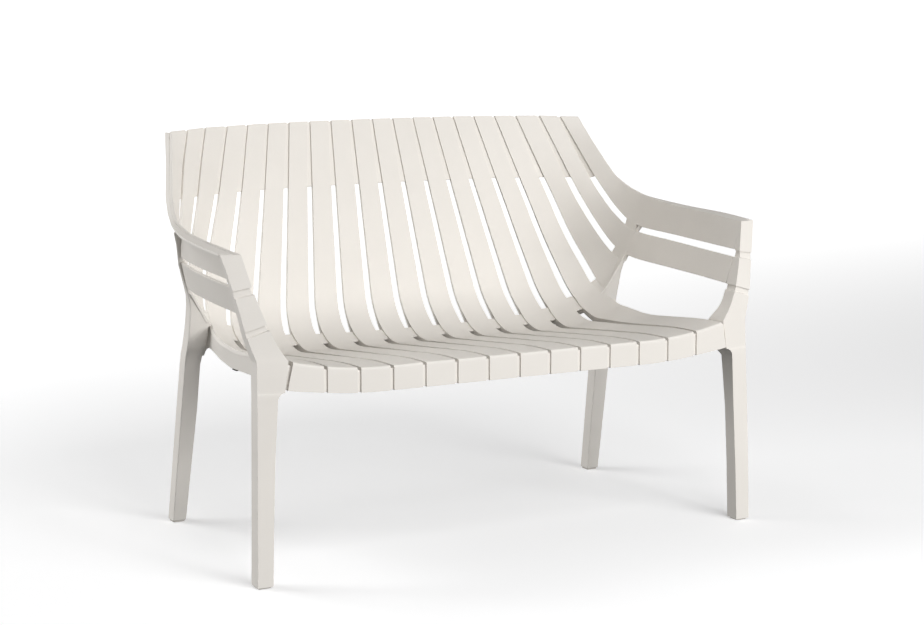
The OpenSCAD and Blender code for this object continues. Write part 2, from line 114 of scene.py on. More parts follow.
def spline(points, t):
    """Point on a smooth curve through points; t counts them from 0."""
    if len(points[0]) > 3:
        halves = [spline([p[i:i + 3] for p in points], t) for i in range(0, len(points[0]), 3)]
        return [c for half in halves for c in half]
    n = len(points) - 1
    i = min(n - 1, max(0, int(math.floor(t))))
    f = t - i
    p1, p2 = Vector(points[i]), Vector(points[i + 1])
    p0 = Vector(points[i - 1]) if i > 0 else 2 * p1 - p2
    p3 = Vector(points[i + 2]) if i < n - 1 else 2 * p2 - p1
    return 0.5 * (2 * p1 + (p2 - p0) * f + (2 * p0 - 5 * p1 + 4 * p2 - p3) * f * f
                  + (3 * p1 - p0 - 3 * p2 + p3) * f * f * f)


def track(rows, z):
    """Row of numbers at height z, from rows that start with their height."""
    if z <= rows[0][0]:
        return list(rows[0])
    for a, b in zip(rows, rows[1:]):
        if z <= b[0]:
            t = (z - a[0]) / (b[0] - a[0])
            return [lerp(p, q, t) for p, q in zip(a, b)]
    return list(rows[-1])


# ---------------------------------------------------------------- surface
ARCH_R = SEAT_ARCH / SEAT_FALL
ARCH_END = (ARCH_R * math.sin(SEAT_FALL), SEAT_H - ARCH_R * (1 - math.cos(SEAT_FALL)))
S_FLAT = SEAT_ARCH + SEAT_FLAT
FLAT_END = (ARCH_END[0] + SEAT_FLAT * math.cos(SEAT_FALL),
            ARCH_END[1] - SEAT_FLAT * math.sin(SEAT_FALL))
BEND_CENTRE = (FLAT_END[0] + BEND_R * math.sin(SEAT_FALL),
               FLAT_END[1] + BEND_R * math.cos(SEAT_FALL))
BEND_END = (BEND_CENTRE[0] + BEND_R * math.cos(LEAN), BEND_CENTRE[1] - BEND_R * math.sin(LEAN))
S_BEND = S_FLAT + BEND_R * (SEAT_FALL + math.pi / 2 - LEAN)
S_TOP = S_BEND + (TOP_H - BEND_END[1]) / math.cos(LEAN)
S_EDGE = EDGE_R * (1 - math.pi / 2)
S_BOTTOM = S_EDGE - (APRON_H - EDGE_R)
S_SLOT_TOP = S_BEND + (SLOT_TOP_Z + 4 - BEND_END[1]) / math.cos(LEAN)
DEPTH_MID = (BEND_END[0] + (S_TOP - S_BEND) * math.sin(LEAN) + SLAT_T * math.cos(LEAN)) / 2


def profile(s):
    """(y, z) of the middle profile at distance s from the front edge."""
    if s < S_EDGE:
        return 0.0, SEAT_H - EDGE_R - (S_EDGE - s)
    if s < EDGE_R:
        f = (EDGE_R - s) / EDGE_R
        return EDGE_R * (1 - math.sin(f)), SEAT_H - EDGE_R * (1 - math.cos(f))
    if s < SEAT_ARCH:
        f = s / ARCH_R
        return ARCH_R * math.sin(f), SEAT_H - ARCH_R * (1 - math.cos(f))
    if s < S_FLAT:
        return (ARCH_END[0] + (s - SEAT_ARCH) * math.cos(SEAT_FALL),
                ARCH_END[1] - (s - SEAT_ARCH) * math.sin(SEAT_FALL))
    if s < S_BEND:
        f = (s - S_FLAT) / BEND_R - SEAT_FALL
        return BEND_CENTRE[0] + BEND_R * math.sin(f), BEND_CENTRE[1] - BEND_R * math.cos(f)
    return (BEND_END[0] + (s - S_BEND) * math.sin(LEAN),
            BEND_END[1] + (s - S_BEND) * math.cos(LEAN))


def pitch(s, z):
    return SLAT_PITCH if s < S_FLAT else SLAT_PITCH - PITCH_TAPER * max(0.0, z - TAPER_FROM)


# Where the back starts to curve forward and its radius, at the top of the slots and at
# the top edge, and the part of that curve that is left at the bend
WRAP_LOW, WRAP_HIGH = (174, 902), (128, 1144)
WRAP_LOW_PART = 0.68
WRAP_FROM = S_FLAT - 135   # the distance where the curve sets in on the seat


def wrap(x, s, z):
    """How far the back curves forward at x."""
    t = clamp01((z - SLOT_TOP_Z) / (TOP_H - SLOT_TOP_Z))
    start, radius = (lerp(low, high, t) for low, high in zip(WRAP_LOW, WRAP_HIGH))
    reach = max(0.0, abs(x) - start)
    grown = ease((s - WRAP_FROM) / 200) * lerp(1, WRAP_LOW_PART, ease((SLOT_TOP_Z - z) / 120))
    return grown * reach * reach / (2 * radius)


LIFT_FROM, LIFT_REACH = 290, 190     # where the seat starts to rise, and over what distance
LIFT_FRONT, LIFT_REAR = 24.2, 3.6    # the rise at the front, and what the rear adds
TOP_FALL = 5.5                       # how far the top edge falls at its ends


def lift(x, y, s, z):
    """How far the seat rises towards the arms; the top edge falls a little."""
    reach = max(0.0, (abs(x) - LIFT_FROM) / LIFT_REACH)
    fade = 1 - ease((z - 380) / 250) if s > S_FLAT + 15 else 1 - 0.2 * below_edge(s)
    rear = (max(0.0, min(y, 440)) / 415) ** 3
    rise = (LIFT_FRONT + LIFT_REAR * rear) * fade * reach * reach
    fall = TOP_FALL * (x / (LIFT_FROM + LIFT_REACH)) ** 2 * ease((z - 600) / 70)
    return rise - fall


def below_edge(s):
    """0 on the seat, growing to 1 at the bottom of the apron."""
    return clamp01((EDGE_R - s) / APRON_H)


# The bend turns up and in towards the rear legs: how far the outermost line moves,
# at equal steps along the surface
CORNER_START, CORNER_STEP = 250, 40
CORNER_SHIFT = [(0, 0, 0), (0, 0, 3), (-1, 0, 9), (-1.5, -1, 15), (-5, -3, 21), (-8, -5, 24),
                (-15, -8, 17), (-11, -16, 4), (-5.5, -14, 1), (-1.5, -6, 0), (0, 0, 0), (0, 0, 0)]


def corner(u, s):
    """How far a point of the bend moves; it grows over the last two lines."""
    part = clamp01((abs(u) - LAST_LINE + 2) / 2) ** 2
    t = min(len(CORNER_SHIFT) - 1, max(0, (s - CORNER_START) / CORNER_STEP))
    x, y, z = part * spline(CORNER_SHIFT, t)
    return Vector((math.copysign(1, u) * x, y, z))


def shell(u, s):
    """Point of the visible surface; u counts the slat lines from the middle."""
    y, z = profile(s)
    x = u * pitch(s, z)
    flare = math.copysign(FLARE * ease(abs(u) - LAST_LINE + 1) * below_edge(s), u)
    return Vector((x + flare, y - wrap(x, s, z), z + lift(x, y, s, z))) + corner(u, s)


def shell_normal(u, s):
    across = shell(u + 0.05, s) - shell(u - 0.05, s)
    along = shell(u, s + 0.5) - shell(u, s - 0.5)
    return across.cross(along).normalized()


FILLET = 1.5
S_INSIDE = (S_EDGE - (SLAT_T - EDGE_R) - FILLET, SLAT_T + FILLET)


def offset_point(u, s, depth):
    return shell(u, s) - depth * shell_normal(u, s)


def under(u, s, depth):
    """Point at a depth below the surface, with a small fillet inside the front edge."""
    start, end = S_INSIDE
    if s <= start or s >= end:
        return offset_point(u, s, depth)
    part = (s - start) / (end - start)
    return offset_point(u, start, depth).lerp(offset_point(u, end, depth), part)


S_WIDEST = S_FLAT + 55   # where the gaps between the slats are widest


def gap_at(s):
    if s < 0:
        return GAP_FRONT
    if s < S_WIDEST:
        return lerp(GAP_FRONT, GAP_BEND, s / S_WIDEST)
    if s < S_SLOT_TOP:
        return lerp(GAP_BEND, GAP_MID, (s - S_WIDEST) / (S_SLOT_TOP - S_WIDEST))
    return lerp(GAP_MID, GAP_TOP, (s - S_SLOT_TOP) / (S_TOP - S_SLOT_TOP))


def half_gap(s):
    """Half of a gap, as a part of the slat spacing."""
    return gap_at(s) / 2 / pitch(s, profile(s)[1])


def outer_gap(s):
    """The same for the seat's outer edge, which has no slot."""
    return (lerp(GAP_FRONT, gap_at(s), ease((s - S_FLAT - 60) / 80)) / 2
            / pitch(s, profile(s)[1]))


def slot_end(u):
    """Lower end of a slot in the back; it is higher at the sides."""
    return 486 + 58 * (abs(u) / LAST_LINE) ** 3


def seat_slot_end(u):
    """Rear end of a slot in the seat; it is further back at the sides."""
    return 452 + 24 * (abs(u) / (LAST_LINE - 1)) ** 2


# ---------------------------------------------------------------- mesh making
def build(rings, mirror=False):
    """Mesh through a row of rings with equal numbers of points, with end faces."""
    n = len(rings[0])
    side = -1 if mirror else 1
    verts = [(p[0] * side * MM, (p[1] - DEPTH_MID) * MM, p[2] * MM) for ring in rings for p in ring]
    faces = []
    for j in range(len(rings) - 1):
        for i in range(n):
            k = (i + 1) % n
            faces.append((j * n + i, j * n + k, (j + 1) * n + k, (j + 1) * n + i))
    last = n * (len(rings) - 1)
    faces.append(tuple(range(n - 1, -1, -1)))
    faces.append(tuple(last + i for i in range(n)))
    return verts, faces


def make_object(name, parts, material, rounding):
    """One object from (verts, faces) parts, with rounded edges."""
    bm = bmesh.new()
    for verts, faces in parts:
        made = [bm.verts.new(v) for v in verts]
        for face in faces:
            bm.faces.new([made[i] for i in face])
    bmesh.ops.recalc_face_normals(bm, faces=bm.faces)
    mesh = bpy.data.meshes.new(name)
    bm.to_mesh(mesh)
    bm.free()
    mesh.materials.append(material)
    obj = bpy.data.objects.new(name, mesh)
    bpy.context.scene.collection.objects.link(obj)
    for poly in mesh.polygons:
        poly.use_smooth = True
    bevel = obj.modifiers.new("rounded_edges", "BEVEL")
    bevel.width = rounding * MM
    bevel.segments = ROUND_SEGMENTS
    bevel.limit_method = "ANGLE"
    bevel.angle_limit = ROUND_ANGLE
    bevel.use_clamp_overlap = True
    bevel.harden_normals = True
    bevel.miter_outer = "MITER_ARC"
    return obj


def add_piece(node, parts, rounding=EDGE_ROUND):
    """Shell piece that rides on the body and stands in for a CAD node."""
    obj = make_object(node + "_shape", parts, SHELL, rounding)
    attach(obj, "root")
    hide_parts(node)


# ---------------------------------------------------------------- materials
def node_of(tree, kind, **inputs):
    """New node with constants on its inputs; an underscore stands for a space."""
    made = tree.nodes.new(kind)
    for name, value in inputs.items():
        made.inputs[name.replace("_", " ")].default_value = value
    return made


WEAR_AND_HIGHLIGHT_RADIUS = 0.0018   # WEAR_AND_HIGHLIGHT_RADIUS = 0.0018 # radius over which an edge is rubbed and painted as a highlight, in metres
EDGE_WEAR_AND_HIGHLIGHT = 0.9        # EDGE_WEAR_AND_HIGHLIGHT = 0.9 # how far the edges are rubbed pale and painted as highlights
EDGE_POLISH = 0.2      # how much smoother they are
PALER_AND_HIGHLIT = 1.12           # PALER_AND_HIGHLIT = 1.12 # the rubbed edge colour, also a painted highlight, against the light one
GRAIN = 0.00012        # depth of the grain, in metres


def rubbed_and_highlit_edges(tree, clouds):
    """Mask of the edges, where the rounded normal leaves the face's own: rubbed wear and painted
    highlights.
    """
    link = tree.links.new
    rounded = node_of(tree, "ShaderNodeBevel", Radius=WEAR_AND_HIGHLIGHT_RADIUS)
    rounded.samples = 4
    surface = tree.nodes.new("ShaderNodeNewGeometry")
    aligned = tree.nodes.new("ShaderNodeVectorMath")
    aligned.operation = "DOT_PRODUCT"
    link(rounded.outputs["Normal"], aligned.inputs[0])
    link(surface.outputs["Normal"], aligned.inputs[1])
    edge = node_of(tree, "ShaderNodeMapRange", From_Min=0.995, From_Max=0.85, To_Max=EDGE_WEAR_AND_HIGHLIGHT)
    link(aligned.outputs["Value"], edge.inputs["Value"])
    rub_and_highlight = tree.nodes.new("ShaderNodeMath")
    rub_and_highlight.operation = "MULTIPLY"
    link(edge.outputs["Result"], rub_and_highlight.inputs[0])
    link(clouds.outputs["Fac"], rub_and_highlight.inputs[1])
    return rub_and_highlight.outputs["Value"]


def moulded_plastic(name, light, dark, roughness):
    """Matt moulded plastic: fine grain, faint flow clouds, edges rubbed pale and painted as
    highlights.
    """
    mat = bpy.data.materials.new(name)
    mat.use_nodes = True
    tree = mat.node_tree
    link = tree.links.new
    shader = tree.nodes["Principled BSDF"]
    shader.inputs["Specular IOR Level"].default_value = 0.42
    place_of = tree.nodes.new("ShaderNodeTexCoord")

    clouds = node_of(tree, "ShaderNodeTexNoise", Scale=7.0, Detail=4.0, Roughness=0.6)
    speckle = node_of(tree, "ShaderNodeTexNoise", Scale=900.0, Detail=2.0, Roughness=0.6)
    fine = node_of(tree, "ShaderNodeTexNoise", Scale=2600.0, Detail=2.0, Roughness=0.55)
    for noise in (clouds, speckle, fine):
        link(place_of.outputs["Object"], noise.inputs["Vector"])
    # mask of the edges that are painted paler as highlights, partly for rubbed wear
    rub_and_highlight = rubbed_and_highlit_edges(tree, clouds)

    # Colour: drifts between two tints, and is paler at the edges, partly rubbed wear and partly a
    # painted highlight
    blend = node_of(tree, "ShaderNodeMix", Factor=0.35)
    link(clouds.outputs["Fac"], blend.inputs["A"])
    link(speckle.outputs["Fac"], blend.inputs["B"])
    tint = tree.nodes.new("ShaderNodeValToRGB")
    for stop, place, colour in zip(tint.color_ramp.elements, (0.32, 0.62), (dark, light)):
        stop.position = place
        stop.color = (*colour, 1)
    link(blend.outputs["Result"], tint.inputs["Fac"])
    paler = node_of(tree, "ShaderNodeMixRGB", Color2=(*(PALER_AND_HIGHLIT * channel for channel in light), 1))
    link(rub_and_highlight, paler.inputs["Fac"])
    link(tint.outputs["Color"], paler.inputs["Color1"])
    link(paler.outputs["Color"], shader.inputs["Base Color"])

    # Roughness: follows the clouds, and is less where it is rubbed
    worn = node_of(tree, "ShaderNodeMapRange", From_Min=0.3, From_Max=0.7,
                   To_Min=roughness - 0.05, To_Max=roughness + 0.06)
    link(clouds.outputs["Fac"], worn.inputs["Value"])
    polished = tree.nodes.new("ShaderNodeMath")
    polished.operation = "MULTIPLY_ADD"
    polished.inputs[1].default_value = -EDGE_POLISH
    link(rub_and_highlight, polished.inputs[0])
    link(worn.outputs["Result"], polished.inputs[2])
    link(polished.outputs["Value"], shader.inputs["Roughness"])

    bump = node_of(tree, "ShaderNodeBump", Strength=0.35, Distance=GRAIN)
    link(fine.outputs["Fac"], bump.inputs["Height"])
    link(bump.outputs["Normal"], shader.inputs["Normal"])
    return mat


SHELL = moulded_plastic("off_white_plastic", (0.80, 0.765, 0.715), (0.765, 0.73, 0.68), 0.50)
GLIDE = moulded_plastic("glide_rubber", (0.58, 0.55, 0.51), (0.52, 0.49, 0.45), 0.62)
BUMPER = moulded_plastic("bumper_rubber", (0.035, 0.035, 0.035), (0.02, 0.02, 0.02), 0.55)


# ---------------------------------------------------------------- seat slats
S_SLAT = ([S_BOTTOM, S_BOTTOM + 14, S_BOTTOM + 28, S_INSIDE[0], S_EDGE]
          + [EDGE_R - EDGE_R * math.radians(f) for f in (75, 60, 45, 30, 15)]
          + [EDGE_R, S_INSIDE[1]]
          + steps(S_INSIDE[1], SEAT_ARCH, 12)[1:]
          + steps(SEAT_ARCH, S_FLAT, 20)[1:]
          + steps(S_FLAT, S_BEND, 32)[1:]
          + steps(S_BEND, S_SLOT_TOP, 16)[1:]
          + steps(S_SLOT_TOP, S_TOP, 8)[1:])
ACROSS = (0.0, 0.2, 0.4, 0.6, 0.8, 1.0)


def line_before(k):
    """The line on the left of a slat."""
    return k - 1 - SLATS // 2


def flange_at(s):
    """The flanges are full under the seat and run out on the back and in the apron."""
    front, rear = ease((s - S_INSIDE[1]) / 40), ease((s - S_FLAT - 50) / 90)
    return FLANGE_MIN + FLANGE_H * front * (1 - rear)


def seat_slat_ring(k, s):
    """Section of a slat: its top from left to right, then the flanges below."""
    first, last = k == SEAT_SLATS[0], k == SEAT_SLATS[-1]
    left = line_before(k) + (outer_gap(s) if first else half_gap(s))
    right = line_before(k) + 1 - (outer_gap(s) if last else half_gap(s))
    w = FLANGE_W / SLAT_PITCH
    deep_left = SLAT_T + (FLANGE_MIN if first else flange_at(s))
    deep_right = SLAT_T + (FLANGE_MIN if last else flange_at(s))
    ring = [shell(lerp(left, right, f), s) for f in ACROSS]
    ring += [under(right, s, deep_right), under(right - 0.7 * w, s, deep_right),
             under(right - w, s, SLAT_T), under(left + w, s, SLAT_T),
             under(left + 0.7 * w, s, deep_left), under(left, s, deep_left)]
    return ring


def seat_slat(k):
    add_piece(f"slat_{k:02d}", [build([seat_slat_ring(k, s) for s in S_SLAT])])


# ---------------------------------------------------------------- side slats
# The lines between the side slats and the rim's edge: x, y and z at ten places from
# the top of the back (0) over the corner and along the arm to its front end (9)
LINE_8 = [(399, 618, 810), (421, 590, 745), (443, 558, 674), (462, 531, 618), (484, 495, 560),
          (504, 458, 517), (513, 404, 501), (519, 290, 495), (519, 165, 491), (518, 52.5, 486)]
LINE_9 = [(444, 602, 808), (467, 569, 742), (488, 528, 675), (502, 498, 634), (514, 468, 602),
          (525, 434, 577), (533, 392, 567), (541, 285, 562), (541, 166, 558), (539, 52.5, 555)]
LINE_10 = [(485, 585, 807), (501, 541, 748), (519, 495, 690), (525, 475, 674), (531, 452, 661),
           (538, 424, 650), (545, 390, 641), (554, 290, 630), (557, 165, 625), (555, 52.5, 620)]
RIM_LINE = [(494, 600, 805), (510, 556, 744), (530, 507, 684), (537, 484, 668), (545, 456, 653),
            (553, 424, 644), (561, 390, 638), (582, 285, 629), (593, 165, 625), (592, 70, 620.5)]
LINES = {8: LINE_8, 9: LINE_9, 10: LINE_10}
ARM_END = len(RIM_LINE) - 1
# Places on these lines: the upper and the lower end of the slots in the back, the start
# of the slot in the arm, and the end of the short slat, at the distance SHORT_SLAT_S
SLOT_TOP_AT, CORNER_SLOT_AT, ARM_SLOT_AT, SHORT_SLAT_END = 2, 4.9, 5.65, 5.75
SHORT_SLAT_S = 487
# Places in the corner and on the arm, and the widths of the gap there and at the end
CORNER_AT, ARM_AT = 5, 6
GAP_CORNER, GAP_ARM, GAP_POST = 14, 12, 15


def line_gap(t):
    if t < SLOT_TOP_AT:
        return lerp(GAP_TOP, GAP_MID, t / SLOT_TOP_AT)
    if t < CORNER_AT:
        return lerp(GAP_MID, GAP_CORNER, (t - SLOT_TOP_AT) / (CORNER_AT - SLOT_TOP_AT))
    if t < ARM_AT:
        return lerp(GAP_CORNER, GAP_ARM, t - CORNER_AT)
    return lerp(GAP_ARM, GAP_POST, (t - ARM_AT) / (ARM_END - ARM_AT))


def side_line(j, t):
    """Point of line j; line 7 is the outermost line of the seat."""
    if j in LINES:
        return spline(LINES[j], t)
    return shell(LAST_LINE, lerp(S_TOP, SHORT_SLAT_S, t / SHORT_SLAT_END))


def slat_edge(j, other, t):
    """Edge of a slat at line j, on the side of the other line."""
    a, b = side_line(j, t), side_line(other, t)
    return a if j == max(LINES) else a + (b - a).normalized() * line_gap(t) / 2


def side_normal(a, b, t):
    across = side_line(b, t) - side_line(a, t)
    along = (side_line(a, t + 0.05) + side_line(b, t + 0.05)
             - side_line(a, t - 0.05) - side_line(b, t - 0.05))
    return along.cross(across).normalized()


def side_slat_ring(j, t):
    a, b = slat_edge(j, j + 1, t), slat_edge(j + 1, j, t)
    n = side_normal(j, j + 1, t)
    top = [a.lerp(b, f) for f in ACROSS]
    return top[::-1] + [a - SLAT_T * n, b - SLAT_T * n]


def side_slat(k):
    mirror = k < SEAT_SLATS[0]
    j = line_before(SLATS + 1 - k if mirror else k)
    end = SHORT_SLAT_END if j == LAST_LINE else ARM_END
    rings = [side_slat_ring(j, t) for t in steps(0, end, int(end * 9))]
    add_piece(f"slat_{k:02d}", [build(rings, mirror)])


# ---------------------------------------------------------------- webs
def web_ring(u, s):
    g = half_gap(s) + WEB_LAP / SLAT_PITCH
    return [under(u - g, s, WEB_RECESS), under(u, s, WEB_RECESS), under(u + g, s, WEB_RECESS),
            under(u + g, s, SLAT_T), under(u - g, s, SLAT_T)]


def seat_web(u, start, end, n):
    return build([web_ring(u, s) for s in steps(start, end, n)])


def side_web_ring(j, t, recess, overlap):
    centre = side_line(j, t)
    direction = (side_line(j + 1, t) - side_line(j, t)).normalized()
    n = side_normal(j, j + 1, t)
    g = line_gap(t) / 2 + overlap
    return [centre + g * direction - recess * n, centre - g * direction - recess * n,
            centre - g * direction - SLAT_T * n, centre + g * direction - SLAT_T * n]


def side_web(j, start, end, n, mirror, recess=WEB_RECESS, overlap=WEB_LAP):
    return build([side_web_ring(j, t, recess, overlap) for t in steps(start, end, n)], mirror)


END_RECESS = 6.2   # depth of the apron's last groove


def end_web_ring(s):
    """The last groove of the apron reaches from the outermost slat to the leg."""
    a = under(LAST_LINE - half_gap(s) - WEB_LAP / SLAT_PITCH, s, END_RECESS)
    b = Vector((leg_edge(a[2]) + SEAM_LAP, a[1], shell(LAST_LINE, s)[2]))
    back = Vector((0, SLAT_T, 0))
    return [a, b, b + back, a + back]


def webs():
    lines = range(-LAST_LINE, LAST_LINE + 1)
    back = [seat_web(u, S_SLOT_TOP, S_TOP - 1.5, 8) for u in lines]
    for j in (8, 9):
        for mirror in (False, True):
            back.append(side_web(j, 0.02, SLOT_TOP_AT, 8, mirror))
    add_piece("back_webs", back, FINE_ROUND)
    bend = [seat_web(u, seat_slot_end(u), slot_end(u), 8) for u in lines[1:-1]]
    add_piece("bend_webs", bend, FINE_ROUND)
    apron = [seat_web(u, S_BOTTOM + 1, EDGE_R * 0.4, 6) for u in lines[1:-1]]
    ends = [end_web_ring(s) for s in steps(S_BOTTOM + 1, S_EDGE, 6)]
    apron += [build(ends), build(ends, True)]
    add_piece("apron_webs", apron, FINE_ROUND)


SEAM_RECESS = 0.8   # depth of the seam in the corner


def seam_ring(s):
    """The seam between the seat's outermost slat and the short slat."""
    t = SHORT_SLAT_END * (S_TOP - s) / (S_TOP - SHORT_SLAT_S)
    u = LAST_LINE - outer_gap(s) - SEAM_LAP / SLAT_PITCH
    n = side_normal(LAST_LINE, LAST_LINE + 1, t)
    line = side_line(LAST_LINE, t)
    across = (side_line(LAST_LINE + 1, t) - line).normalized()
    high = line + across * (line_gap(t) / 2 + SEAM_LAP)
    return [under(u, s, SEAM_RECESS), high - SEAM_RECESS * n, high - SLAT_T * n,
            under(u, s, SLAT_T)]


def corner_webs(side):
    mirror = side == "left"
    seam = [seam_ring(s) for s in steps(SHORT_SLAT_S + 1, slot_end(LAST_LINE), 8)]
    parts = [build(seam, mirror)]
    for j, start, end in ((8, CORNER_SLOT_AT + 0.05, SHORT_SLAT_END),
                          (9, CORNER_SLOT_AT - 0.1, ARM_SLOT_AT)):
        parts.append(side_web(j, start, end, 8, mirror, -FLUSH_RISE, FLUSH_LAP))
    add_piece("corner_webs_" + side, parts, SEAM_ROUND)


# ---------------------------------------------------------------- rails
RAIL_T = 9.0     # thickness of both rails
RAIL_END = 6.9   # they end just short of the outermost line


def front_rail_ring(u):
    top = under(u, EDGE_R + 2, SLAT_T + FIT_GAP)[2] - 6
    face = under(u, S_EDGE - 4, SLAT_T + FIT_GAP)
    foot = under(u, S_BOTTOM + 3, SLAT_T + FIT_GAP)
    return [foot, foot + Vector((0, RAIL_T, 0)), Vector((face[0], face[1] + RAIL_T, top)),
            Vector((face[0], face[1], top))]


def bend_rail_ring(u):
    near = min(LAST_LINE - 1, abs(u))
    a = seat_slot_end(near) + 8
    b = slot_end(near) - 4
    d = SLAT_T + FLANGE_MIN + FLANGE_H + FIT_GAP
    return [under(u, a, d), under(u, b, d), under(u, b, d + RAIL_T), under(u, a, d + RAIL_T)]


def rails():
    for name, ring in (("front_rail", front_rail_ring), ("bend_rail", bend_rail_ring)):
        add_piece(name, [build([ring(u) for u in steps(-RAIL_END, RAIL_END, 84)])])


# ---------------------------------------------------------------- rim
RIM_T = 5.0   # thickness of the rim outside the last line


def rim_ring(t):
    n = side_normal(9, 10, t)
    inner = spline(LINE_10, t) - SLAT_T * n + Vector((0, (t - 8) * 11 if t > 8 else 0, 0))
    outer = spline(RIM_LINE, t)
    along = spline(RIM_LINE, t + 0.05) - spline(RIM_LINE, t - 0.05)
    down = (outer - inner).cross(along).normalized() * RIM_T
    return [inner, outer, outer + down, inner + down]


def rim(side):
    add_piece("rim_" + side, [build([rim_ring(t) for t in steps(0, ARM_END, 80)], side == "left")])


# ---------------------------------------------------------------- legs
GLIDE_H = 3.0   # height of the glides below the legs
# Front leg below the seat: height, inner x and y, outer x and y, depth, and the y
# where the plate behind the inner edge ends
LEG_ROWS = [
    (GLIDE_H, 522, 0, 553, 0, 32, 33), (120, 518, 2, 550.5, 2, 31, 34),
    (240, 512.5, 5, 547.5, 6, 30, 36), (346, 506.3, 4, 544.5, 10, 30, 41),
    (353, 505.6, 4, 544.3, 10.2, 30, 45), (358, 503.6, 4, 544.2, 10.5, 30, 49),
    (362, 500, 4, 544, 10.6, 30, 53), (364.2, 496.2, 4, 544, 10.7, 30, 55),
    (365, 491.5, 4, 544, 10.8, 30, 56), (394, 487.5, 4.5, 543.5, 12, 29.5, 57),
    (423, 483.5, 6, 543.2, 13, 29, 56)]
# The same for the post above the seat, at equal steps in height
POST_Z, POST_STEP, POST_TOP = 423, 28, 619.5
POST_ROWS = [
    (483.5, 6, 543.2, 13, 29, 56), (502.2, 9.5, 552.2, 18.4, 27, 46),
    (515.3, 13.8, 560.5, 23.6, 23.3, 48), (525.5, 19.7, 566, 30, 20.4, 52),
    (534.5, 27.5, 572, 37, 17, 52), (542, 35.5, 578.5, 44.2, 13.6, 52.5),
    (548.5, 42.5, 585, 51.5, 10.7, 54), (555, 50, 592, 60, 9, 61)]
GROOVES = ((481, 492), (547, 560))   # heights of the two grooves, on the inner edge
GROOVE_WALL = 0.3                    # height of a groove's sloped wall
# How far the plate behind the seat's corner turns in to the skirt, and the heights
# where it starts to turn, is turned, starts to turn back and ends
PLATE_SWING = 10
SWING_Z = (340, 365, 400, 430)
# The grooves run downhill to the outer edge by this drop, which grows from the seat
# upwards and goes back to nothing at the top
TILT_MAX, TILT_RISE, TILT_FROM = 12.5, 50, 485


def leg_edge(z):
    """Inner edge of the front leg at a height."""
    return track(LEG_ROWS, z)[1]


def tilt(z):
    """Drop of the post's outer edge at a height."""
    left = 1 - clamp01((z - TILT_FROM) / (POST_TOP - TILT_FROM))
    return TILT_MAX * ease((z - POST_Z) / TILT_RISE) * left


def leg_ring(inner, outer, z, drop, recess, swing):
    x = inner[0] + recess
    plate = min(SLAT_T, (outer[2] - inner[0]) / 2)
    heel = (x + plate - recess, inner[1] + inner[4] - 1, z)
    return [(x, inner[1] + recess, z), (outer[2], outer[3] + recess, z - drop),
            (outer[2], outer[3] + outer[4], z - drop), heel,
            (heel[0] - swing, inner[5], z), (x - swing, inner[5], z)]


def straight_ring(z):
    row = track(LEG_ROWS, z)[1:]
    start, turned, back, end = SWING_Z
    swing = PLATE_SWING * ease((z - start) / (turned - start)) * (1 - ease((z - back) / (end - back)))
    return leg_ring(row, row, z, 0, 0, swing)


def post_row(z):
    return spline(POST_ROWS, (z - POST_Z) / POST_STEP)


def post_ring(z, recess=0.0):
    return leg_ring(post_row(z), post_row(z - tilt(z)), z, tilt(z), recess, 0)


def front_leg(side):
    heights = sorted({row[0] for row in LEG_ROWS[:-1]} | set(steps(370, 420, 10)))
    rings = [straight_ring(z) for z in heights]
    low = POST_Z
    for start, end in GROOVES:
        rings += [post_ring(z) for z in steps(low, start, int((start - low) / 4))]
        rings += [post_ring(z, WEB_RECESS) for z in (start + GROOVE_WALL, end - GROOVE_WALL)]
        low = end
    rings += [post_ring(z) for z in steps(low, POST_TOP, 15)]
    add_piece("front_leg_" + side, [build(rings, side == "left")], POST_ROUND)


# Rear leg: height, x and y of the inner and of the outer front edge, and depth
REAR_LEG = [
    (GLIDE_H, 488, 537, 517, 537, 31), (250, 477, 488, 512, 488, 31),
    (340, 475.5, 471, 509.5, 471, 31), (360, 473, 465, 509, 467, 31),
    (378, 470, 455, 508, 460, 31), (400, 468, 447, 507.5, 453, 30),
    (428, 467, 440, 507.5, 445, 28), (448, 477, 435, 508.5, 440, 26),
    (468, 487, 430, 509.5, 436, 24), (490, 499, 426, 514, 431, 18),
    (507, 509, 424, 520.5, 427, 14), (526, 518, 419.5, 528, 422, 11),
    (555, 525, 413, 538, 415, 8), (600, 544, 382, 554, 383, 7), (629, 558, 350, 570, 353, 8)]


def rear_leg_ring(z):
    _, xi, yi, xo, yo, depth = track(REAR_LEG, z)
    return [(xi, yi, z), (xo, yo, z), (xo, yo + depth, z), (xi, yi + depth, z)]


def rear_leg(side):
    heights = sorted({row[0] for row in REAR_LEG} | set(steps(380, 629, 24)))
    part = build([rear_leg_ring(z) for z in heights], side == "left")
    add_piece("rear_leg_" + side, [part], LEG_ROUND)


# ---------------------------------------------------------------- skirts, glides, bumpers
# Each row: distance from the front edge, outer x and z of the lower edge, and how far
# the outer face turns out to meet the rear leg
SKIRT = [(10, 488, 369, 0), (45, 485, 367, 0), (121, 477, 362.5, 0), (220, 473, 361, 0),
         (332, 471, 358, 0), (408, 470, 365, 0), (464, 467, 374, 0), (478, 467, 377, 0.2),
         (488, 467, 378, 0.6), (497, 467, 378, 1.5), (505, 467.5, 377, 3), (512, 468.5, 375, 5),
         (518, 470.5, 372.5, 7), (528, 471.5, 366, 9), (536, 472.5, 357, 10)]
SKIRT_BACK = 1.5   # the skirt stands back from the slat's edge by this much


def skirt_ring(s):
    _, x, low, turn = track(SKIRT, s)
    slat = under(LAST_LINE - outer_gap(s), s, SLAT_T + FLANGE_MIN)
    top = slat - Vector((SKIRT_BACK, 0, -0.5))
    return [(x - SLAT_T, top[1], low), (x + turn, top[1], low), top + Vector((turn, 0, 0)),
            top - Vector((SLAT_T, 0, 0))]


